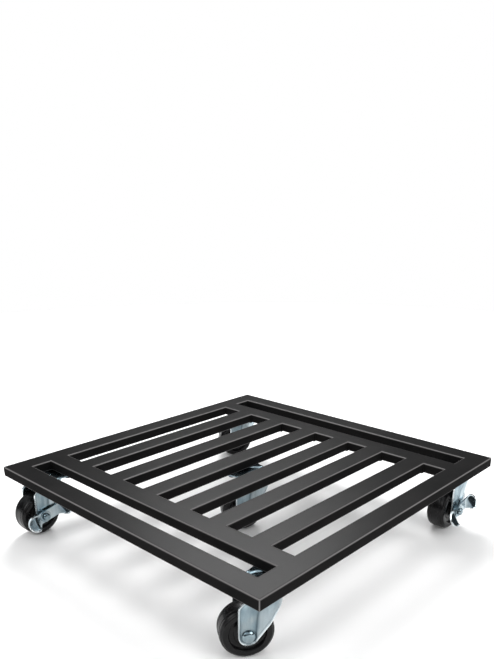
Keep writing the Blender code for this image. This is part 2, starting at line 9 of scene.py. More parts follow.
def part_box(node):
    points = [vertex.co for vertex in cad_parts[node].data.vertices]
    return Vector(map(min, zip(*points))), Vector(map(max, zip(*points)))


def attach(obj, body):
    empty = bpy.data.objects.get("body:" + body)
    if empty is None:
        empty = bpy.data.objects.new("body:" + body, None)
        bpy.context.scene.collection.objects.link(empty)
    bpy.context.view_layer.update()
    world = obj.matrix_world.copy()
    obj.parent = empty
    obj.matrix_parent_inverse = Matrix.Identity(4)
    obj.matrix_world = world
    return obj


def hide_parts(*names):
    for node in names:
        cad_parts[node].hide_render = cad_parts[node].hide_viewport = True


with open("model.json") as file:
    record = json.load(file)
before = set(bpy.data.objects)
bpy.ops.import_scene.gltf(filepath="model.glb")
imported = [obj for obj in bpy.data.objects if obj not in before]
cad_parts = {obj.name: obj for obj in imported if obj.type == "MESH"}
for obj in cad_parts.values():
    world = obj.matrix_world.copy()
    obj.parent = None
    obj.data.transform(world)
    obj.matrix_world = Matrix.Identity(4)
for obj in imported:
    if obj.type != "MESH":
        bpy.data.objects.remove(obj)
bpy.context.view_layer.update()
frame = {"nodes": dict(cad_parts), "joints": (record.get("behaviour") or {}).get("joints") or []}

# Sizes of the dolly in metres, slopes and shares as plain numbers. Places come from the frame.
MM = 0.001

# Tubes and welds. EDGE_START is how far round a corner its edge mark, a painted highlight, begins.
TUBE_WALL = 1.2 * MM
TUBE_CORNER = 1.8 * MM
FRAME_CORNER = 1.7 * MM
CORNER_STEPS = 5
EDGE_START = 0.3
WELD_RADIUS = 1.5 * MM
WELD_RIPPLE = 1.7 * MM
WELD_BEND = 2 * MM
WELD_TOP_GAP = 1.6 * MM

# Mounting plates, screws and balls. The axle is TRAIL behind the kingpin, and HOLE_REACH is half the
# distance between two holes.
TRAIL = 16 * MM
AXLE_Z = 25 * MM
HOLE_REACH = 19 * MM
PLATE_MARGIN = 7 * MM
PLATE_SCALLOP = 3 * MM
PLATE_SHEET = 2 * MM
DISH_RADIUS = 19.57 * MM
DISH_SLOPE = 1.4 * MM
DISH_DEPTH = 1.8 * MM
GROOVE_DEPTH = 0.35 * MM
KINGPIN_BORE = 4.3 * MM
SCREW_HEAD = 2.8 * MM
BALLS = 22
BALL_RING = 16.9 * MM

# Forks. LEG_OUT is the outer face of a leg and LEG_END the radius of its round end.
CROWN_RADIUS = 18.47 * MM
CROWN_ROUND = 1.5 * MM
WELL_RADIUS = 9.5 * MM
WELL_DEPTH = 3 * MM
FORK_SHEET = 1.5 * MM
LEG_OUT = 14 * MM
LEG_END = 9 * MM
FLARE_HEIGHT = 18 * MM
TRAILING_FLARE = 8 * MM
FLARE_BEND = 0.16
FOLD_START = 6.5 * MM
FOLD_SLOPE = 0.15
FOLD_RISE = 0.07
FOLD_REACH = 11 * MM
FOLD_LINE = 0.9 * MM
FRONT_SKIRT = 9 * MM
RIM_ANGLE = math.radians(50)
WING_ROOM = 1.5 * MM
WING_IN = 11.5 * MM
PLAIN_LEAD_SLOPE = 1.46
BRAKED_LEAD_SLOPE = 3.3
BRAKED_TOE_REACH = 20 * MM
BRAKED_TOE_DROP = 1 * MM
ROLL_WIDTH = 2.0 * MM
ROLL_HEIGHT = 0.8 * MM
RIVET_RING = 6.9 * MM
RING_LINE = 0.8 * MM
CUT_EDGE = 0.45 * MM

# The rivets that the wheels turn on.
AXLE_SHANK = 3 * MM
AXLE_HEAD = 6.2 * MM
AXLE_HEAD_ON_ROCKER = 4.6 * MM
HEAD_HEIGHT = 3.1 * MM
HEAD_GAP = 0.3 * MM

# Brake rockers. ROCKER_X is the inner face of the plate; a pad leans out by ROCKER_LEAN of the depth below
# its top.
ROCKER_SHEET = 1.6 * MM
ROCKER_X = 18.8 * MM
ROCKER_LOBE = 8.8 * MM
ROCKER_WAIST = 6.6 * MM
ROCKER_REAR = 24 * MM
ROCKER_FRONT = 33.5 * MM
ROCKER_LEAN = 0.7 * math.tan(math.radians(35))
ROCKER_REST = math.radians(12.7)
ROCKER_ROLL = 0.9 * MM

CASTERS = ("front_right", "rear_right", "rear_left", "front_left", "centre")
# No two screws stop alike: radians from one to the next, and from one caster to the next.
SCREW_TURN, CASTER_TURN = 0.7, 1.9

# The studio: the floor's radius in metres, the point the soft boxes face, and each soft box's name, place,
# width and height in metres, and power in watts.
FLOOR_RADIUS = 1.8
LIGHT_AIM = (0.0, 0.0, 0.04)
SOFT_BOXES = (
    ("soft_box_behind", (-1.15, 1.2, 1.66), (0.95, 0.95), 57.0),
    ("soft_box_right", (1.5, 0.3, 1.1), (0.9, 0.9), 7.0),
    ("soft_box_left", (-0.5, -1.5, 1.2), (1.0, 0.9), 8.0),
)

PLATE_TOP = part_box("plate_centre")[1].z
CROWN_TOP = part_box("fork_centre")[1].z
WELL_TOP = CROWN_TOP - WELL_DEPTH


# ---- Surfaces ------------------------------------------------------------------------------------------


def quads(ids, wrap=False):
    """Faces between neighbouring rows and columns of a table of vertex numbers.

    With wrap, the last column joins the first.
    """
    if wrap:
        ids = np.concatenate([ids, ids[:, :1]], axis=1)
    return np.stack([ids[:-1, :-1], ids[1:, :-1], ids[1:, 1:], ids[:-1, 1:]], -1).reshape(-1, 4)


def fan(pole, ring):
    """Triangles from one pole vertex to each side of a closed ring of vertices."""
    return np.stack([np.full(len(ring), pole), ring, np.roll(ring, -1)], -1)


def outward(points, faces):
    """The same faces, turned round if the closed surface holds a negative volume."""
    volume = 0.0
    for table in faces:
        first = points[table[:, 0]]
        for k in range(1, table.shape[1] - 1):
            cross = np.cross(points[table[:, k]], points[table[:, k + 1]])
            volume += np.einsum("ij,ij->", first, cross)
    return [table[:, ::-1] for table in faces] if volume < 0 else list(faces)


def placed(surface, matrix):
    """The surface carried by a 4 by 4 matrix."""
    points, faces = surface
    matrix = np.array(matrix)
    return points @ matrix[:3, :3].T + matrix[:3, 3], faces


def eased(corners, radii, steps=4, closed=False):
    """An outline with round corners.

    Each corner P with neighbours A and C becomes the curve (1-t)^2 a + 2t(1-t) P + t^2 c, where a and c lie
    on the two sides at the corner's radius from P, but never past 0.45 of a side. One more point on each
    side, 0.35 of the radius further out, keeps the shading of the long sides flat.
    """
    corners = np.array(corners, float)
    count = len(corners)
    t = np.linspace(0.0, 1.0, steps + 1)[:, None]
    points = []
    for i, (corner, radius) in enumerate(zip(corners, radii)):
        if radius == 0.0 or (not closed and i in (0, count - 1)):
            points.append(corner[None])
            continue
        before = corners[i - 1] - corner
        after = corners[(i + 1) % count] - corner
        before_length = np.linalg.norm(before)
        after_length = np.linalg.norm(after)
        reach = min(radius, 0.45 * before_length, 0.45 * after_length)
        a = corner + before * reach / before_length
        c = corner + after * reach / after_length
        curve = (1 - t) ** 2 * a + 2 * t * (1 - t) * corner + t**2 * c
        if 1.35 * reach < 0.5 * before_length:
            points.append((corner + before * 1.35 * reach / before_length)[None])
        points.append(curve)
        if 1.35 * reach < 0.5 * after_length:
            points.append((corner + after * 1.35 * reach / after_length)[None])
    return np.concatenate(points)


def turned(profile, steps, stretch=None):
    """A shape turned about Z: each (radius, height) of the profile becomes a ring of that radius.

    A first or last point on the axis becomes one pole. A profile with neither is closed on itself. stretch
    multiplies each ring's radius at each angle.
    """
    profile = np.array(profile, float)
    poles = [int(abs(end[0]) < 1e-9) for end in (profile[0], profile[-1])]
    rings = profile[poles[0] : len(profile) - poles[1]]
    angles = np.arange(steps) * 2 * math.pi / steps
    radius = rings[:, :1] * np.ones(steps)
    if stretch is not None:
        radius = radius * stretch[poles[0] : len(profile) - poles[1]]
    height = rings[:, 1:] * np.ones(steps)
    points = np.stack([radius * np.cos(angles), radius * np.sin(angles), height], -1).reshape(-1, 3)
    ids = np.arange(len(points)).reshape(len(rings), steps)
    if not any(poles):
        ids = np.concatenate([ids, ids[:1]])
    faces = [quads(ids, wrap=True)]
    for has_pole, row, ring in ((poles[0], profile[0], ids[0]), (poles[1], profile[-1], ids[-1][::-1])):
        if has_pole:
            faces.append(fan(len(points), ring))
            points = np.concatenate([points, [[0.0, 0.0, row[1]]]])
    return points, outward(points, faces)


def swept(path, radii, side, steps):
    """A round bar: at each point of a flat path a circle of that point's radius stands across the path.

    side is the direction at right angles to the path's plane. The two ends close in a pole.
    """
    path = np.array(path, float)
    along = np.gradient(path, axis=0)
    along /= np.linalg.norm(along, axis=1, keepdims=True)
    across = np.cross(along, side)
    angles = np.arange(steps) * 2 * math.pi / steps
    ring = np.cos(angles)[:, None] * np.array(side, float) + np.sin(angles)[:, None] * across[:, None]
    points = (path[:, None] + np.array(radii)[:, None, None] * ring).reshape(-1, 3)
    ids = np.arange(len(points)).reshape(len(path), steps)
    ends = np.array([path[0] - along[0] * radii[0], path[-1] + along[-1] * radii[-1]])
    faces = [quads(ids, wrap=True), fan(len(points), ids[0]), fan(len(points) + 1, ids[-1][::-1])]
    points = np.concatenate([points, ends])
    return points, outward(points, faces)


def make_piece(name, surface, material, body, replaced=(), place=None, marks=None):
    """Puts a surface into the scene as a piece that rides on a body and stands for its CAD nodes.

    marks are named values from 0 to 1, one for each point, that the materials read.
    """
    points, faces = surface if place is None else placed(surface, place)
    sizes = np.concatenate([np.full(len(table), table.shape[1]) for table in faces])
    corners = np.concatenate([table.ravel() for table in faces])
    mesh = bpy.data.meshes.new(name)
    mesh.vertices.add(len(points))
    mesh.vertices.foreach_set("co", points.astype(np.float32).ravel())
    mesh.loops.add(len(corners))
    mesh.loops.foreach_set("vertex_index", corners.astype(np.int32))
    mesh.polygons.add(len(sizes))
    mesh.polygons.foreach_set("loop_start", (np.cumsum(sizes) - sizes).astype(np.int32))
    mesh.update(calc_edges=True)
    mesh.validate()
    for mark, values in (marks or {}).items():
        layer = mesh.attributes.new(mark, "FLOAT", "POINT")
        layer.data.foreach_set("value", values.astype(np.float32).ravel())
    mesh.shade_smooth()
    mesh.set_sharp_from_angle(angle=math.radians(38))
    mesh.materials.append(material)
    piece = bpy.data.objects.new(name, mesh)
    bpy.context.scene.collection.objects.link(piece)
    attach(piece, body)
    if replaced:
        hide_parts(*replaced)
    return piece


def thicken(piece, sheet, offset):
    """Gives a pressed skin its sheet thickness, in (-1) or out (1), and rounds its cut edges."""
    solid = piece.modifiers.new("sheet", "SOLIDIFY")
    solid.thickness = sheet
    solid.offset = offset
    solid.use_even_offset = True
    solid.use_quality_normals = True
    bevel = piece.modifiers.new("cut_edges", "BEVEL")
    bevel.width = CUT_EDGE
    bevel.segments = 3
    bevel.limit_method = "ANGLE"
    bevel.angle_limit = math.radians(55)
    bevel.harden_normals = True


# ---- Materials -----------------------------------------------------------------------------------------


def linear(colour):
    """An sRGB hex colour as linear RGBA."""
    values = np.array([int(colour[i : i + 2], 16) for i in (1, 3, 5)]) / 255
    values = np.where(values <= 0.04045, values / 12.92, ((values + 0.055) / 1.055) ** 2.4)
    return (*values, 1.0)


def add_node(tree, kind, inputs=None, **settings):
    """Adds a node with its settings. Each input is a constant or the output that is linked to it."""
    node = tree.nodes.new("ShaderNode" + kind)
    for setting, value in settings.items():
        setattr(node, setting, value)
    for key, value in (inputs or {}).items():
        if isinstance(value, bpy.types.NodeSocket):
            tree.links.new(value, node.inputs[key])
        else:
            node.inputs[key].default_value = value
    return node


def new_material(name):
    """A new material, its node tree, its surface shader and the coordinates of the object it is on."""
    material = bpy.data.materials.new(name)
    material.use_nodes = True
    tree = material.node_tree
    shader = tree.nodes["Principled BSDF"]
    place = add_node(tree, "TexCoord").outputs["Object"]
    return material, tree, shader, place


def noise(tree, place, size, detail=2.0, stretch=None):
    """Noise whose lumps are about this size in metres, drawn out along an axis by stretch."""
    if stretch:
        place = add_node(tree, "Mapping", {"Vector": place, "Scale": stretch}).outputs["Vector"]
    inputs = {"Vector": place, "Scale": 1 / size, "Detail": detail, "Roughness": 0.55}
    return add_node(tree, "TexNoise", inputs).outputs["Fac"]


def ramp(tree, factor, stops):
    """A colour ramp over (position, sRGB hex) stops."""
    node = add_node(tree, "ValToRGB", {"Fac": factor})
    elements = node.color_ramp.elements
    while len(elements) < len(stops):
        elements.new(0.5)
    for element, (position, colour) in zip(elements, stops):
        element.position = position
        element.color = linear(colour)
    return node.outputs["Color"]


def spread(tree, factor, low, high, start=0.3, end=0.7):
    """The factor's range from start to end spread over low to high. Noise keeps mostly to 0.3 to 0.7."""
    inputs = {"Value": factor, "From Min": start, "From Max": end, "To Min": low, "To Max": high}
    return add_node(tree, "MapRange", inputs).outputs["Result"]


def bump(tree, height, depth, normal=None):
    """A bump of this depth in metres over another one."""
    inputs = {"Height": height, "Distance": depth, "Strength": 1.0}
    if normal:
        inputs["Normal"] = normal
    return add_node(tree, "Bump", inputs).outputs["Normal"]


def mixed(tree, factor, first, second, blend="MIX"):
    """Two colours mixed by a factor. A Mix node's colours are its inputs 6 and 7 and its output 2."""
    node = add_node(tree, "Mix", {0: factor, 6: first, 7: second}, data_type="RGBA", blend_type=blend)
    return node.outputs[2]


def mark(tree, name):
    """The marks of this name that a piece carries."""
    return add_node(tree, "Attribute", attribute_name=name).outputs["Fac"]


def dress(tree, shader, colour, roughness, relief):
    """Links a finish's colour, roughness and bumps to its surface shader."""
    tree.links.new(colour, shader.inputs["Base Color"])
    tree.links.new(roughness, shader.inputs["Roughness"])
    tree.links.new(relief, shader.inputs["Normal"])


def powder_coated_steel():
    """Satin black polyester powder baked on steel tube.

    The powder melts into a skin with a slight orange-peel ripple, so the eye sees a soft broad sheen on the
    upper faces and duller sides. A thin paler line along each rounded edge is a painted highlight.
    """
    material, tree, shader, place = new_material("powder_coated_steel")
    clouds = noise(tree, place, 45 * MM)
    coat = ramp(tree, clouds, ((0.3, "#121212"), (0.7, "#191818")))
    # Painted highlight: the edge mark lays a paler line along each rounded edge of the tubes.
    coat = mixed(tree, mark(tree, "edge"), coat, linear("#6f6d6d"))
    # The ripple is about 1.5 mm from crest to crest; it is drawn at 2.6 mm so that it shows.
    ripple = noise(tree, place, 2.6 * MM)
    grain = noise(tree, place, 0.7 * MM)
    # Loads sliding on the deck rub its upper faces smoother; the sides keep the powder's duller skin.
    facing = add_node(tree, "TexCoord").outputs["Normal"]
    upward = add_node(tree, "SeparateXYZ", {"Vector": facing}).outputs["Z"]
    dull = spread(tree, upward, 0.46, 0.0, 0.2, 0.8)
    rough = add_node(tree, "Math", {0: spread(tree, grain, 0.30, 0.38), 1: dull}).outputs[0]
    dress(tree, shader, coat, rough, bump(tree, grain, 0.006 * MM, bump(tree, ripple, 0.03 * MM)))
    shader.inputs["IOR"].default_value = 1.5
    shader.inputs["Specular IOR Level"].default_value = 0.04
    return material


def zinc_plated_steel():
    """Pressed sheet steel with bright zinc plating and a clear blue chromate.

    The bath leaves a fine even grain over the rolling lines of the sheet, a faint blue tint that drifts over
    a centimetre or two, and upright streaks about 5 mm wide where it ran off, so the eye sees soft bright
    metal with a cool cast that is not quite even.
    """
    material, tree, shader, place = new_material("zinc_plated_steel")
    tint = noise(tree, place, 16 * MM, 1.0)
    grain = noise(tree, place, 1.2 * MM, 3.0)
    lines = noise(tree, place, 1.6 * MM, 2.0, (1.0, 1.0, 0.12))
    bands = noise(tree, place, 5 * MM, 1.0, (1.0, 1.0, 0.2))
    colour = ramp(tree, tint, ((0.28, "#91a3ac"), (0.5, "#9cadb4"), (0.74, "#a8b3b6")))
    speckle = ramp(tree, grain, ((0.35, "#c4ced4"), (0.65, "#f2f6f8")))
    streaks = ramp(tree, bands, ((0.38, "#9fb0b8"), (0.62, "#ffffff")))
    colour = mixed(tree, 0.25, colour, speckle, "MULTIPLY")
    colour = mixed(tree, 0.5, colour, streaks, "MULTIPLY")
    # Painted highlight: rolled rims, the leg ahead of each fold and the rocker's waist are made paler.
    colour = mixed(tree, mark(tree, "edge"), colour, linear("#eef4f6"))
    # Painted shade: folds, the ring round a rivet, the inside of the rims and the rocker's pads are made
    # darker.
    colour = mixed(tree, mark(tree, "painted_shade"), colour, linear("#34414a"))
    # The press leaves the sheet a little wavy.
    sheet = bump(tree, noise(tree, place, 9 * MM, 1.0), 0.18 * MM)
    relief = bump(tree, grain, 0.004 * MM, bump(tree, lines, 0.008 * MM, sheet))
    dress(tree, shader, colour, spread(tree, grain, 0.18, 0.28), relief)
    shader.inputs["Metallic"].default_value = 1.0
    return material


def moulded_rubber():
    """Hard black rubber pressed in a steel mould.

    The mould's fine spark-eroded skin prints on it, so the eye sees a deep black with a broad soft sheen,
    broken a little where the tread has picked up dust.
    """
    material, tree, shader, place = new_material("moulded_rubber")
    dust = noise(tree, place, 9 * MM, 3.0)
    skin = noise(tree, place, 0.8 * MM, 2.0)
    colour = ramp(tree, dust, ((0.35, "#0b0b0c"), (0.75, "#141314")))
    dress(tree, shader, colour, spread(tree, dust, 0.19, 0.3), bump(tree, skin, 0.008 * MM))
    shader.inputs["IOR"].default_value = 1.52
    shader.inputs["Specular IOR Level"].default_value = 0.22
    return material


def black_oxide_steel():
    """Machined screws blackened in a hot salt bath and oiled: near-black metal with a slight oily gloss."""
    material, tree, shader, place = new_material("black_oxide_steel")
    mottle = noise(tree, place, 1.5 * MM, 3.0)
    colour = ramp(tree, mottle, ((0.3, "#26272b"), (0.7, "#3b3c41")))
    dress(tree, shader, colour, spread(tree, mottle, 0.24, 0.4), bump(tree, mottle, 0.008 * MM))
    shader.inputs["Metallic"].default_value = 0.9
    return material


def greased_bearing_steel():
    """Bearing balls in amber grease: the grease pools between them and gives a warm wet line."""
    material, tree, shader, place = new_material("greased_bearing_steel")
    pools = noise(tree, place, 2 * MM, 2.0)
    colour = ramp(tree, pools, ((0.3, "#8d6426"), (0.7, "#d3a957")))
    dress(tree, shader, colour, spread(tree, pools, 0.2, 0.4), bump(tree, pools, 0.05 * MM))
    shader.inputs["Metallic"].default_value = 0.45
    return material


# ---- Deck ----------------------------------------------------------------------------------------------


def tube_section(width, depth):
    """Outer and inner outline of a tube's section about its middle, and each outer point's edge mark.

    The outer one is a rectangle with round corners; the inner one has the same number of points, a wall
    further in. The mark rises from 0 to 1 while the point's way round a corner, as a share of the corner's
    radius, goes from EDGE_START to twice that. The coat paints this mark as a highlight line.
    """
    corners = np.array(((1, 1), (-1, 1), (-1, -1), (1, -1))) * 0.5
    outer = eased(corners * (width, depth), [TUBE_CORNER] * 4, CORNER_STEPS, closed=True)
    inner_size = np.array((width, depth)) - 2 * TUBE_WALL
    inner = eased(corners * inner_size, [TUBE_CORNER / 2] * 4, CORNER_STEPS, closed=True)
    flat = np.maximum(np.abs(outer) - (np.array((width, depth)) / 2 - TUBE_CORNER), 0.0)
    edge = np.clip(flat.min(axis=1) / (EDGE_START * TUBE_CORNER) - 1.0, 0.0, 1.0)
    return outer, inner, edge


def hollow_bar(outer_points, inner_points, edge):
    """A tube from its outer and inner skin, each a table of points over section and station.

    The stations run out along the outer skin and back along the inner one, so that the two cut ends close.
    """
    table = np.concatenate([outer_points, inner_points[:, ::-1]], axis=1)
    stations = table.shape[1]
    points = table.reshape(-1, 3)
    ids = np.arange(len(points)).reshape(-1, stations)
    ids = np.concatenate([ids, ids[:1]])
    marks = np.repeat(edge[:, None], stations, axis=1) * (np.arange(stations) < stations // 2)
    return (points, outward(points, [quads(ids, wrap=True)])), {"edge": marks}


def straight_tube(start, end, width, depth):
    """A straight tube along Y, its section the same at each station. Its edge marks, a painted highlight,
    come with it.
    """
    outer, inner, edge = tube_section(width, depth)
    margin = 2 * MM
    stations = np.array((start, start + margin, end - margin, end))
    skins = []
    for outline in (outer, inner):
        skin = np.empty((len(outline), len(stations), 3))
        skin[..., 0] = outline[:, :1]
        skin[..., 1] = stations
        skin[..., 2] = outline[:, 1:]
        skins.append(skin)
    return hollow_bar(*skins, edge)


def mitred_rail(half_x, half_y, width, depth):
    """One side of the outer frame, on +X, from one corner's diagonal to the other's.

    A point that lies d inside the frame's outer face follows a rectangle d smaller all round, whose corner
    radius is what d leaves of the frame's own, and each corner is cut where its arc is half done. One more
    station stands a margin further along the rail at each end.
    """
    outer, inner, edge = tube_section(width, depth)
    margin = 2.5 * MM
    arc = np.radians(np.linspace(45, 0, 6))
    angle = np.concatenate([arc, [0.0, 0.0], arc[::-1]])
    side = np.where(np.arange(len(angle)) < len(angle) // 2, -1.0, 1.0)
    inward = np.concatenate([np.zeros(len(arc)), [margin, margin], np.zeros(len(arc))])
    skins = []
    for outline in (outer, inner):
        inset = (width / 2 - outline[:, :1]) * np.ones(len(angle))
        radius = np.maximum(FRAME_CORNER - inset, 0.02 * MM)
        skin = np.empty((len(outline), len(angle), 3))
        skin[..., 0] = half_x - inset - radius * (1 - np.cos(angle))
        skin[..., 1] = side * (half_y - inset - radius * (1 - np.sin(angle)) - inward)
        skin[..., 2] = outline[:, 1:]
        skins.append(skin)
    surface, marks = hollow_bar(*skins, edge)
    # The outer corner gets the painted edge highlight too: its arcs lie on the outermost part of the section.
    outermost = np.clip(1 - (width / 2 - outer[:, 0]) / (0.8 * FRAME_CORNER), 0.0, 1.0)
    corner = np.clip((angle - EDGE_START) / EDGE_START, 0.0, 1.0)
    outside = marks["edge"][:, : len(angle)]
    np.maximum(outside, outermost[:, None] * corner, out=outside)
    return surface, marks


def weld(path):
    """A weld bead along a path in a plane across Y: a round bar whose radius swells once a ripple.

    At a length s along it the radius is WELD_RADIUS (0.86 + 0.16 |sin(pi s / WELD_RIPPLE + 0.6)|), and near
    its two ends it shrinks away on a quarter circle.
    """
    path = eased(path, [WELD_BEND] * len(path), 6) if len(path) > 2 else np.array(path, float)
    lengths = np.concatenate([[0.0], np.cumsum(np.linalg.norm(np.diff(path, axis=0), axis=1))])
    total = lengths[-1]
    stations = np.linspace(0.0, total, int(total / (WELD_RIPPLE / 5)) + 2)
    line = np.stack([np.interp(stations, lengths, path[:, k]) for k in range(3)], -1)
    ripple = 0.86 + 0.16 * np.abs(np.sin(math.pi * stations / WELD_RIPPLE + 0.6))
    near_end = np.clip(np.minimum(stations, total - stations) / WELD_RADIUS, 0.0, 1.0)
    fade = np.sqrt(np.clip(1 - (1 - near_end) ** 2, 0.02, 1.0))
    return swept(line, WELD_RADIUS * ripple * fade, (0.0, 1.0, 0.0), 12)


def make_deck(coat):
    """The outer frame, the two cross rails, the six slats and the welds that join them."""
    low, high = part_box("side_rail_right")
    half_x, half_y = high.x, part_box("end_rail_rear")[1].y
    width, depth = high.x - low.x, high.z - low.z
    middle_z = (low.z + high.z) / 2
    lift = Matrix.Translation((0.0, 0.0, middle_z))

    def add_tube(node, built, place):
        surface, marks = built
        make_piece("tube_" + node, surface, coat, "deck", [node], place, marks)

    for node, turn, swap in (
        ("side_rail_right", 0, False),
        ("end_rail_rear", 90, True),
        ("side_rail_left", 180, False),
        ("end_rail_front", 270, True),
    ):
        halves = (half_y, half_x) if swap else (half_x, half_y)
        place = Matrix.Rotation(math.radians(turn), 4, "Z") @ lift
        add_tube(node, mitred_rail(*halves, width, depth), place)

    inside_x = half_x - width
    quarter = Matrix.Rotation(math.radians(90), 4, "Z")
    for node in ("cross_rail_front", "cross_rail_rear"):
        low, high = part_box(node)
        y = (low.y + high.y) / 2
        reach = inside_x + TUBE_CORNER
        place = Matrix.Translation((0.0, y, middle_z)) @ quarter
        add_tube(node, straight_tube(-reach, reach, width, depth), place)
    inside_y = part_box("cross_rail_rear")[0].y
    for number in range(1, 7):
        node = f"slat_{number}"
        low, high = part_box(node)
        reach = inside_y + TUBE_CORNER
        place = Matrix.Translation(((low.x + high.x) / 2, 0.0, middle_z))
        add_tube(node, straight_tube(-reach, reach, width, depth), place)
    make_welds(coat, half_x, half_y, width, depth, middle_z)


def make_welds(coat, half_x, half_y, width, depth, middle_z):
    """Fillet welds: round the sides and bottom of each slat's ends, and down the frame's inside corners."""
    top = middle_z + depth / 2 - WELD_TOP_GAP
    bottom = middle_z - depth / 2

    def add_weld(name, path):
        make_piece("weld_" + name, weld(path), coat, "deck", ())

    for end, name in ((1, "rear"), (-1, "front")):
        low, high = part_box("cross_rail_" + name)
        inner_y = low.y if end > 0 else high.y
        outer_y = high.y if end > 0 else low.y
        for number in range(1, 7):
            slat_low, slat_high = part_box(f"slat_{number}")
            left, right = slat_low.x, slat_high.x
            corners = ((left, top), (left, bottom), (right, bottom), (right, top))
            add_weld(f"slat_{number}_{name}", [(x, inner_y, z) for x, z in corners])
        for side, hand in ((1, "right"), (-1, "left")):
            x = side * (half_x - width)
            for y, label in ((inner_y, "inner"), (outer_y, "outer"), (end * (half_y - width), "corner")):
                add_weld(f"{label}_{name}_{hand}", [(x, y, top), (x, y, bottom + WELD_RADIUS)])


# ---- Mounting plates, rivets and screws ----------------------------------------------------------------


def plate_reach(angles):
    """How far the plate's edge is from the middle at each angle.

    The edge is an arc round each screw hole and, between two holes, a parabola that dips towards the middle.
    """
    half = HOLE_REACH + PLATE_MARGIN
    across = np.linspace(-HOLE_REACH, HOLE_REACH, 60)
    dip = half - PLATE_SCALLOP * (1 - (across / HOLE_REACH) ** 2)
    bend = np.linspace(0, math.pi / 2, 30)[1:-1]
    x = np.concatenate([dip, HOLE_REACH + PLATE_MARGIN * np.cos(bend)])
    y = np.concatenate([across, HOLE_REACH + PLATE_MARGIN * np.sin(bend)])
    edge_angles = np.arctan2(y, x)
    edge_radii = np.hypot(x, y)
    folded = (angles + math.pi / 4) % (math.pi / 2) - math.pi / 4
    return np.interp(folded, edge_angles, edge_radii)


def pressed_plate():
    """A stamped plate: its section, from the bore over the dish to the edge and back below, turned about Z.

    Outside the dish a section point moves out with the plate's edge at that angle, the last 0.6 mm keeping
    its distance from it. A shallow groove is pressed into the dish.
    """
    top = PLATE_TOP
    bottom = top - PLATE_SHEET
    nominal = HOLE_REACH + PLATE_MARGIN
    inside = DISH_RADIUS - 0.7 * MM
    floor = top - DISH_DEPTH
    corners = [
        (KINGPIN_BORE, floor),
        (11.2 * MM, floor),
        (12.0 * MM, floor - GROOVE_DEPTH),
        (15.6 * MM, floor - GROOVE_DEPTH),
        (16.4 * MM, floor),
        (inside, floor),
        (inside + DISH_SLOPE, top),
        (nominal, top),
        (nominal, bottom),
        (DISH_RADIUS + DISH_SLOPE, bottom),
        (DISH_RADIUS, bottom - DISH_DEPTH),
        (KINGPIN_BORE, bottom - DISH_DEPTH),
    ]
    radii = [0.3, 0.6, 0.6, 0.6, 0.6, 0.7, 0.9, 0.6, 0.6, 0.9, 0.8, 0.3]
    section = eased(corners, np.array(radii) * MM, 4, closed=True)
    steps = 288
    angles = np.arange(steps) * 2 * math.pi / steps
    reach = plate_reach(angles)
    # A short running mean rounds the nicks where arcs and parabolas meet.
    window = np.hanning(9) / np.hanning(9).sum()
    reach = np.convolve(np.concatenate([reach[-4:], reach, reach[:4]]), window, "valid")
    fixed = DISH_RADIUS + DISH_SLOPE + 0.4 * MM
    margin = 0.6 * MM
    out = section[:, :1]
    share = np.clip((out - fixed) / (nominal - margin - fixed), 0.0, 1.0)
    beyond = np.maximum(out - (nominal - margin), 0.0)
    radius = np.where(out <= fixed, out, fixed + share * (reach - margin - fixed) + beyond)
    return turned(section, steps, radius / out)


def kingpin():
    """A rivet: a flat head in the plate's dish, a shank, and a spun dome under the crown."""
    upper = PLATE_TOP - 0.3 * MM
    lower = WELL_TOP - FORK_SHEET - 0.3 * MM
    corners = [
        (0.0, upper - 0.5 * MM),
        (3.0 * MM, upper - 0.5 * MM),
        (4.0 * MM, upper),
        (7.8 * MM, upper),
        (7.8 * MM, upper - 1.2 * MM),
        (4.0 * MM, upper - 1.2 * MM),
        (4.0 * MM, lower),
        (7.8 * MM, lower),
        (7.6 * MM, lower - 1.0 * MM),
        (5.0 * MM, lower - 2.3 * MM),
        (2.2 * MM, lower - 2.6 * MM),
        (1.6 * MM, lower - 2.1 * MM),
        (0.0, lower - 2.0 * MM),
    ]
    radii = np.array([0, 0.5, 0.5, 0.5, 0.3, 0.2, 0.2, 0.3, 0.8, 1.6, 0.5, 0.4, 0]) * MM
    return turned(eased(corners, radii, 4), 72)


def hex_screw():
    """A flanged button-head screw, head down: its head hangs below z = 0 and its shank stands above.

    Each ring is a circle, but in the socket its radius at an angle is the hexagon's: the distance across
    half the flats over the cosine of the angle from the nearest flat's middle.
    """
    corners = [
        (0.0, 10.0 * MM),
        (2.5 * MM, 10.0 * MM),
        (2.5 * MM, 0.0),
        (5.0 * MM, 0.0),
        (5.0 * MM, -0.8 * MM),
        (4.4 * MM, -1.0 * MM),
        (3.9 * MM, -2.0 * MM),
        (3.0 * MM, -SCREW_HEAD),
        (2.15 * MM, -SCREW_HEAD),
        (1.6 * MM, -SCREW_HEAD + 0.35 * MM),
        (1.6 * MM, -SCREW_HEAD + 1.6 * MM),
        (0.0, -SCREW_HEAD + 1.9 * MM),
    ]
    radii = np.array([0, 0.5, 0.2, 0.3, 0.3, 0.4, 0.8, 0.7, 0.2, 0.15, 0.1, 0]) * MM
    section = eased(corners, radii, 4)
    steps = 72
    angles = np.arange(steps) * 2 * math.pi / steps
    hexagon = 1 / np.cos((angles + math.pi / 6) % (math.pi / 3) - math.pi / 6)
    out, up = section[:, :1], section[:, 1:]
    in_socket = (out < 2.0 * MM) & (up < 0.0) & (up > 0.3 * MM - SCREW_HEAD)
    return turned(section, steps, 1 + in_socket * (hexagon - 1))


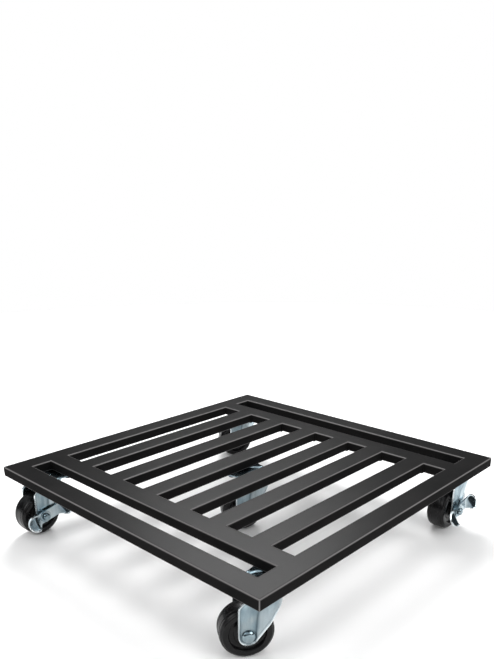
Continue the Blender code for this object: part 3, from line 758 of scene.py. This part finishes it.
def ball_race():
    """A ring of balls in grease between plate and crown.

    Its section is an ellipse, half of it 1.1 mm wide and 0.64 mm high, times 0.74 + 0.26 |cos(n a / 2)|^0.6
    at the angle a, for n balls.
    """
    steps = BALLS * 10
    around = np.arange(steps) * 2 * math.pi / steps
    about = (np.arange(16) * 2 * math.pi / 16)[:, None]
    swell = 0.74 + 0.26 * np.abs(np.cos(around * BALLS / 2)) ** 0.6
    middle = (CROWN_TOP + PLATE_TOP - PLATE_SHEET - DISH_DEPTH) / 2
    radius = BALL_RING + 1.1 * MM * np.cos(about) * swell
    height = middle + 0.64 * MM * np.sin(about) * swell
    points = np.stack([radius * np.cos(around), radius * np.sin(around), height], -1).reshape(-1, 3)
    ids = np.arange(len(points)).reshape(len(about), -1)
    return points, outward(points, [quads(np.concatenate([ids, ids[:1]]), wrap=True)])


# ---- Forks ---------------------------------------------------------------------------------------------


def wall_plan():
    """The fork wall seen from above, from the +X leg's trailing edge round the front to the -X leg's.

    Straight legs join a half circle. It returns the points, the angle at which each meets the crown's rim,
    and how far round the wall each is from the first trailing edge.
    """
    round_end = -TRAIL - LEG_END * np.cos(np.linspace(0, math.pi / 2 + 0.9, 26))
    leg = np.concatenate([round_end, np.linspace(round_end[-1], 0.0, 12)[1:]])
    rim = RIM_ANGLE * leg / (TRAIL + LEG_END)
    half_turn = np.linspace(0, math.pi, 61)[1:-1]
    x = np.concatenate([np.full(len(leg), LEG_OUT), LEG_OUT * np.cos(half_turn), np.full(len(leg), -LEG_OUT)])
    y = np.concatenate([leg, LEG_OUT * np.sin(half_turn), leg[::-1]])
    angle = np.concatenate([rim, half_turn, math.pi - rim[::-1]])
    steps = np.hypot(np.diff(x), np.diff(y))
    run = np.concatenate([[0.0], np.cumsum(steps)])
    return x, y, angle, run


def wall_lower_edge(x, y, braked):
    """The height of the wall's lower edge: round below the axle, then rising, clear of the tread."""
    along = y + TRAIL
    low = AXLE_Z - np.sqrt(np.maximum(LEG_END**2 - along**2, 0.0))
    if braked:
        toe = AXLE_Z - BRAKED_TOE_DROP
        end = AXLE_Z - LEG_END
        sole = end + (toe - end) * along / BRAKED_TOE_REACH
        lead = toe + BRAKED_LEAD_SLOPE * (along - BRAKED_TOE_REACH)
        low = np.where(along >= 0, np.where(along >= BRAKED_TOE_REACH, lead, sole), low)
    else:
        lean = math.atan(1 / PLAIN_LEAD_SLOPE)
        reach = LEG_END * math.cos(lean)
        lead = AXLE_Z - LEG_END * math.sin(lean) + PLAIN_LEAD_SLOPE * (along - reach)
        low = np.where(along >= reach, lead, low)
    over_tread = AXLE_Z + np.sqrt(np.maximum((AXLE_Z + WING_ROOM) ** 2 - along**2, 0.0))
    bent_in = np.abs(x) - FORK_SHEET < WING_IN
    low = np.where(bent_in, np.maximum(low, over_tread), low)
    low = np.minimum(low, CROWN_TOP - FRONT_SKIRT)
    # A running mean over a few stations rounds the corners of the edge, but not its round end.
    window = np.hanning(7) / np.hanning(7).sum()
    smooth = np.convolve(np.concatenate([[low[0]] * 3, low, [low[-1]] * 3]), window, "valid")
    return np.where(along > 2 * MM, smooth, low)


def fork_marks(y, z, e, ahead, nearest, in_roll):
    """The fork's marks: painted highlights (edge) and painted shade.

    Painted highlight: the rolled rim is bright, and the leg ahead of its fold a little brighter than behind.
    Painted shade: a bell curve darkens the fold line and the ring round the axle's head, and a triangle
    the inside of the rim.
    """
    on_leg = y < 0
    from_axle = np.hypot(y + TRAIL, z - AXLE_Z)
    ring = np.exp(-(((from_axle - RIVET_RING) / RING_LINE) ** 2)) * on_leg
    line = np.exp(-((ahead / FOLD_LINE) ** 2)) * on_leg
    inside_rim_shade = np.clip(1 - np.abs(nearest / ROLL_WIDTH - 0.95) / 0.35, 0, 1)
    # Painted shade: the fold line, the ring round the axle's head and the inside of the rim.
    painted_shade = np.clip(0.65 * line * (1 - e) + 0.5 * ring + 0.5 * inside_rim_shade, 0, 1)
    # Painted highlight: the leg ahead of the fold.
    wing_highlight = 0.3 * np.clip(ahead / (3 * MM), 0, 1) * (1 - e)
    return {"edge": np.maximum(np.clip(1.4 * in_roll - 0.4, 0, 1), wing_highlight), "painted_shade": painted_shade}


def pressed_fork(braked):
    """A fork pressed from one sheet, as the outer skin of its crown and wall, and its marks.

    Crown: rings of the profile over all angles. Wall: at each station of the plan and each share v of the
    way down, a point between the crown's rim and the plan, whose share e of the rim falls with depth h as
    e = (1 - h + sqrt((1 - h)^2 + k^2)) / 2, a straight flare that runs into the upright leg with a soft
    bend. h is the depth over the flare's height, which is less at the trailing edge. Each leg is folded
    along a steep line FOLD_START ahead of the axle, and beyond it leans out by FOLD_SLOPE of the distance.
    Near a free edge the sheet is rolled outwards by ROLL_HEIGHT.
    """
    x, y, angle, run = wall_plan()
    back = np.linspace(math.pi + RIM_ANGLE, 2 * math.pi - RIM_ANGLE, 26)[1:-1]
    angles = np.concatenate([angle, back])
    corners = [
        (CROWN_RADIUS, CROWN_TOP - 2.2 * MM),
        (CROWN_RADIUS - 0.3 * MM, CROWN_TOP),
        (WELL_RADIUS + 1.1 * MM, CROWN_TOP),
        (WELL_RADIUS, WELL_TOP),
        (KINGPIN_BORE, WELL_TOP),
    ]
    profile = eased(corners, np.array([0, CROWN_ROUND, 0.9 * MM, 0.9 * MM, 0]), 6)
    crown = np.empty((len(profile), len(angles), 3))
    crown[..., 0] = profile[:, :1] * np.cos(angles)
    crown[..., 1] = profile[:, :1] * np.sin(angles)
    crown[..., 2] = profile[:, 1:]
    rim_z = profile[0, 1]
    low = wall_lower_edge(x, y, braked)
    v = np.linspace(0, 1, 34)[1:, None]
    z = rim_z + (low - rim_z) * v
    run_to_end = np.minimum(run, run[-1] - run)
    from_end = np.clip(run_to_end / (TRAIL + LEG_END), 0.0, 1.0)
    flare = TRAILING_FLARE + (FLARE_HEIGHT - TRAILING_FLARE) * from_end
    h = (rim_z - z) / flare
    k = FLARE_BEND
    e = (1 - h + np.sqrt((1 - h) ** 2 + k**2)) / (1 + math.sqrt(1 + k**2))
    slope = np.gradient(low, run)
    above_edge = (z - low) / np.sqrt(1 + np.minimum(np.abs(slope), 3.0) ** 2)
    nearest = np.minimum(above_edge, run_to_end)
    in_roll = np.clip(1 - nearest / ROLL_WIDTH, 0, 1)
    roll = ROLL_HEIGHT * in_roll**2 * (3 - 2 * in_roll)
    normal_x = np.where(np.abs(x) >= LEG_OUT - 1e-6, np.sign(x), x / LEG_OUT)
    normal_y = np.where(y > 0, y / LEG_OUT, 0.0)
    ahead = y + TRAIL - FOLD_START - FOLD_RISE * (z - AXLE_Z)
    fold = FOLD_SLOPE * np.clip(ahead, 0.0, FOLD_REACH) * np.clip(1 - y / LEG_OUT, 0.0, 1.0) * (1 - e)
    push = roll + fold
    wall = np.empty((len(v), len(x), 3))
    wall[..., 0] = x + (CROWN_RADIUS * np.cos(angle) - x) * e + normal_x * push
    wall[..., 1] = y + (CROWN_RADIUS * np.sin(angle) - y) * e + normal_y * push
    wall[..., 2] = z
    points = np.concatenate([crown.reshape(-1, 3), wall.reshape(-1, 3)])
    crown_ids = np.arange(crown.shape[0] * crown.shape[1]).reshape(crown.shape[:2])
    wall_ids = crown_ids.size + np.arange(wall.shape[0] * wall.shape[1]).reshape(wall.shape[:2])
    wall_ids = np.concatenate([crown_ids[:1, : len(x)], wall_ids])
    faces = [quads(crown_ids[::-1], wrap=True), quads(wall_ids)]
    bare = np.zeros(crown_ids.size)
    marks = fork_marks(y, z, e, ahead, nearest, in_roll)
    marks = {name: np.concatenate([bare, values.ravel()]) for name, values in marks.items()}
    return facing_up((points, faces)), marks


# ---- Wheels and axles ----------------------------------------------------------------------------------


def moulded_wheel():
    """A wheel turned about its bore: a tread with two thin mould lines, stepped sides, a web and a hub."""
    half = [
        (24.7, 0.0, 0),
        (24.7, 3.9, 0.15),
        (25.0, 4.2, 0.12),
        (25.0, 4.6, 0.12),
        (24.7, 4.9, 0.15),
        (24.75, 7.9, 0.8),
        (23.9, 9.5, 0.6),
        (23.1, 9.7, 0.3),
        (22.7, 10.5, 0.4),
        (21.9, 11.0, 0.5),
        (17.9, 11.0, 0.5),
        (17.2, 10.3, 0.4),
        (16.6, 8.1, 0.9),
        (12.6, 7.6, 0.4),
        (12.0, 8.2, 0.3),
        (9.6, 8.4, 0.8),
        (8.1, 9.4, 0.9),
        (7.9, 12.0, 0.5),
        (3.3, 12.0, 0.2),
    ]
    right = [(r * MM, x * MM) for r, x, _ in half]
    left = [(r, -x) for r, x in right[:0:-1]]
    radii = np.array([e for *_, e in half] + [e for *_, e in half[:0:-1]]) * MM
    section = eased(left + right, np.roll(radii, len(left)), 3, closed=True)
    return turned(section, 144)


def domed_head(face, direction, radius):
    """Corners of a rivet's domed head, from its shank out and over to its middle, facing along the axle.

    Each is a radius, a place on the axle and how far the corner is rounded.
    """
    outline = (
        (AXLE_SHANK, 0.0, 0.1),
        (radius, 0.0, 0.3),
        (0.97 * radius, 0.32, 0.5),
        (0.72 * radius, 0.86, 1.4),
        (0.36 * radius, 1.0, 1.2),
        (0.0, 1.0, 0.0),
    )
    return [(r, face + direction * share * HEAD_HEIGHT, e * MM) for r, share, e in outline]


def rivet_axle(far_face, far_radius):
    """The wheel's rivet, turned about its length: a domed head on the -X leg and one on the far face."""
    near = domed_head(-LEG_OUT - HEAD_GAP, -1, AXLE_HEAD)
    far = domed_head(far_face + HEAD_GAP, 1, far_radius)
    corners = near[::-1] + far
    section = eased([(r, x) for r, x, _ in corners], [e for *_, e in corners], 5)
    return turned(section, 72)


# ---- Brake rockers -------------------------------------------------------------------------------------


def pressed_rocker():
    """A bow-tie plate whose two lobes lean out to make pads for a foot: its inner skin and its marks.

    Over the distance a along it and the share w across it, the half width is the lobe's circle outside the
    two lobe centres and a cosine dip to the waist between them. The skin lies further out the lower it is
    on a lobe, and its rim is rolled out by ROCKER_ROLL. The rims and, more faintly, the waist carry a painted
    highlight, and the pads inside the rims painted shade.
    """
    rear = -ROCKER_REAR + ROCKER_LOBE
    front = ROCKER_FRONT - ROCKER_LOBE
    turn = np.linspace(0.12, math.pi / 2, 16)
    a = np.concatenate([rear - ROCKER_LOBE * np.cos(turn), np.linspace(rear, front, 46)[1:-1]])
    a = np.concatenate([a, front + ROCKER_LOBE * np.cos(turn[::-1])])
    from_lobe = np.clip(np.minimum(a - rear, front - a) / ROCKER_LOBE, 0.0, 1.0)
    tilt = (1 + np.cos(math.pi * from_lobe)) / 2
    beyond = np.clip(np.maximum(rear - a, a - front), 0.0, ROCKER_LOBE)
    circle = np.sqrt(np.maximum(ROCKER_LOBE**2 - beyond**2, 0.0))
    half = np.where(beyond > 0, circle, ROCKER_WAIST + (ROCKER_LOBE - ROCKER_WAIST) * tilt)
    w = np.sin(np.linspace(-1, 1, 31) * math.pi / 2)
    z = w[:, None] * half
    end_gap = np.minimum(a - a[0], a[-1] - a) + 0.4 * MM
    gap = np.minimum(half * (1 - np.abs(w[:, None])), end_gap)
    roll = ROCKER_ROLL * np.clip(1 - gap / (2 * ROCKER_ROLL), 0, 1) ** 2 * tilt
    lean = ROCKER_LEAN * tilt * (ROCKER_LOBE - z)
    # A leaning lobe is a little less high than it is wide.
    points = np.stack([ROCKER_X + lean + roll, a * np.ones_like(z), z * (1 - 0.12 * tilt)], -1)
    ids = np.arange(points.size // 3).reshape(points.shape[:2])
    # Painted highlight on the rolled rims, and painted shade on the pads inside them.
    rim = tilt * np.clip(1.3 - gap / (1.2 * MM), 0, 1)
    pad_shade = tilt * np.clip(gap / (1.6 * MM) - 0.7, 0, 1)
    # The waist gets a quarter of the painted highlight as well.
    return (points.reshape(-1, 3), [quads(ids)]), {"edge": rim + 0.25 * (1 - tilt), "painted_shade": 0.7 * pad_shade}


def rocker_hub():
    """The cam's hub between fork and plate."""
    corners = [(3.3, 14.35), (6.8, 14.35), (6.8, 19.6), (3.3, 19.6)]
    section = eased(np.array(corners) * MM, [0.3 * MM] * 4, 3, closed=True)
    return turned(section, 64)


# ---- Casters -------------------------------------------------------------------------------------------


def caster_place(name):
    """The caster's own place: its kingpin on Z and its axle along X, with the floor at z = 0."""
    joints = {joint["name"]: joint for joint in frame["joints"]}
    pin = joints["swivel_" + name]["pos_m"]
    across = joints["spin_" + name]["axis"]
    turn = Matrix.Rotation(math.atan2(across[1], across[0]), 4, "Z")
    return Matrix.Translation((pin[0], pin[1], 0.0)) @ turn


def facing_up(surface):
    """An open skin turned so that the first face of its first table looks up or out."""
    points, faces = surface
    a, b, c = (points[faces[0][0][k]] for k in (0, 1, 2))
    return (points, [table[:, ::-1] for table in faces]) if np.cross(b - a, c - b)[2] < 0 else surface


def make_casters(zinc, rubber, oxide, grease):
    """The five casters: plate, rivets, balls, screws, fork and wheel, and a brake rocker on two of them."""
    plate = pressed_plate()
    pin = kingpin()
    screw = hex_screw()
    race = ball_race()
    wheel = moulded_wheel()
    forks = {braked: pressed_fork(braked) for braked in (False, True)}
    along_x = Matrix.Rotation(math.radians(90), 4, "Y")
    plain_axle = rivet_axle(LEG_OUT, AXLE_HEAD)
    braked_axle = rivet_axle(ROCKER_X + ROCKER_SHEET, AXLE_HEAD_ON_ROCKER)
    rocker, rocker_marks = pressed_rocker()
    hub = placed(rocker_hub(), along_x)

    def add_zinc(kind, name, surface, body, nodes, place, marks=None):
        return make_piece(f"{kind}_{name}", surface, zinc, body, nodes, place, marks)

    for name in CASTERS:
        braked = "brake_rocker_" + name in frame["nodes"]
        place = caster_place(name)
        yoke, roller = "yoke_" + name, "roller_" + name
        axis = place @ Matrix.Translation((0.0, -TRAIL, AXLE_Z))
        level = Matrix.Translation(place.to_translation())
        add_zinc("plate_pressed", name, plate, "deck", ["plate_" + name], level)
        add_zinc("kingpin_rivet", name, pin, "deck", ["kingpin_" + name], level)
        make_piece("ball_race_" + name, race, grease, "deck", (), level)
        for number in range(1, 5):
            node = f"screw_{name}_{number}"
            low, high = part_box(node)
            middle_x, middle_y = (low.x + high.x) / 2, (low.y + high.y) / 2
            seat = Matrix.Translation((middle_x, middle_y, low.z + SCREW_HEAD))
            turn = SCREW_TURN * number + CASTER_TURN * CASTERS.index(name)
            turned_seat = seat @ Matrix.Rotation(turn, 4, "Z")
            make_piece("hex_" + node, screw, oxide, "deck", [node], turned_seat)
        skin, marks = forks[braked]
        fork = add_zinc("fork_pressed", name, skin, yoke, ["fork_" + name], place, marks)
        thicken(fork, FORK_SHEET, -1.0)
        axle = braked_axle if braked else plain_axle
        add_zinc("axle_rivet", name, axle, yoke, ["axle_" + name], axis @ along_x)
        make_piece(
            "wheel_moulded_" + name, wheel, rubber, roller, ["wheel_" + name], axis @ along_x
        )
        if braked:
            tilt = axis @ Matrix.Rotation(ROCKER_REST, 4, "X")
            body = "rocker_" + name
            node = "brake_rocker_" + name
            pads = add_zinc("rocker_pressed", name, rocker, body, [node], tilt, rocker_marks)
            thicken(pads, ROCKER_SHEET, 1.0)
            add_zinc("rocker_hub", name, hub, body, (), tilt)


# ---- Studio --------------------------------------------------------------------------------------------


def make_floor():
    """A round, plain, pale floor."""
    steps = 96
    angles = np.arange(steps) * 2 * math.pi / steps
    points = np.stack([FLOOR_RADIUS * np.cos(angles), FLOOR_RADIUS * np.sin(angles), np.zeros(steps)], -1)
    mesh = bpy.data.meshes.new("floor")
    mesh.from_pydata(points.tolist(), [], [list(range(steps))])
    floor = bpy.data.objects.new("floor", mesh)
    bpy.context.scene.collection.objects.link(floor)
    # Matt white paint, very slightly uneven, so that the eye sees no more than a soft shadow on it.
    material, tree, shader, place = new_material("matt_paint")
    shade = ramp(tree, noise(tree, place, 0.5), ((0.3, "#f4f4f4"), (0.7, "#f8f8f8")))
    tree.links.new(shade, shader.inputs["Base Color"])
    shader.inputs["Roughness"].default_value = 0.9
    shader.inputs["Specular IOR Level"].default_value = 0.1
    mesh.materials.append(material)


def make_light(name, place, size, power):
    """A soft box: a rectangular area light that faces the dolly."""
    light = bpy.data.lights.new(name, "AREA")
    light.shape = "RECTANGLE"
    light.size, light.size_y = size
    light.energy = power
    lamp = bpy.data.objects.new(name, light)
    bpy.context.scene.collection.objects.link(lamp)
    lamp.location = place
    lamp.rotation_euler = (Vector(LIGHT_AIM) - Vector(place)).to_track_quat("-Z", "Y").to_euler()


def make_world():
    """A white room for the eye and for the floor.

    What the finishes mirror of it is dark above the horizon and bright overhead. The ramp runs over the
    mirrored direction's height, from level to straight up.
    """
    world = bpy.data.worlds.new("studio")
    bpy.context.scene.world = world
    world.use_nodes = True
    tree = world.node_tree
    tree.nodes.clear()
    direction = add_node(tree, "TexCoord").outputs["Generated"]
    height = add_node(tree, "SeparateXYZ", {"Vector": direction}).outputs["Z"]
    stops = ((0.0, "#8c9194"), (0.12, "#242526"), (0.36, "#1c1d1e"), (0.62, "#c4c8cb"), (1.0, "#e8ecf0"))
    walls = ramp(tree, height, stops)
    mirrored = add_node(tree, "Background", {"Color": walls, "Strength": 1.3})
    white = add_node(tree, "Background", {"Color": linear("#ffffff"), "Strength": 0.9})
    seen = add_node(tree, "Background", {"Color": linear("#ffffff"), "Strength": 1.0})
    rays = add_node(tree, "LightPath").outputs
    lit = add_node(tree, "MixShader", {0: rays["Is Glossy Ray"], 1: white.outputs[0], 2: mirrored.outputs[0]})
    room = add_node(tree, "MixShader", {0: rays["Is Camera Ray"], 1: lit.outputs[0], 2: seen.outputs[0]})
    add_node(tree, "OutputWorld", {"Surface": room.outputs[0]})


def make_camera():
    """The camera stands off the near right corner and looks down at the deck; the frame is shifted up."""
    camera = bpy.data.cameras.new("camera")
    camera.lens = 36.31
    camera.sensor_width = 36.0
    camera.shift_y = 0.2068
    camera.clip_start = 0.05
    rig = bpy.data.objects.new("camera", camera)
    bpy.context.scene.collection.objects.link(rig)
    forward = Vector((-0.6348, 0.6743, -0.3773)).normalized()
    right = Vector((0.7287, 0.6849, -0.0018))
    right = (right - forward * right.dot(forward)).normalized()
    up = right.cross(forward)
    turn = Matrix((right, up, -forward)).transposed().to_4x4()
    rig.matrix_world = Matrix.Translation((0.5043, -0.5431, 0.379)) @ turn
    bpy.context.scene.camera = rig


make_camera()
make_world()
make_floor()
for soft_box in SOFT_BOXES:
    make_light(*soft_box)
make_deck(powder_coated_steel())
make_casters(zinc_plated_steel(), moulded_rubber(), black_oxide_steel(), greased_bearing_steel())
bpy.context.scene.view_settings.view_transform = "Standard"
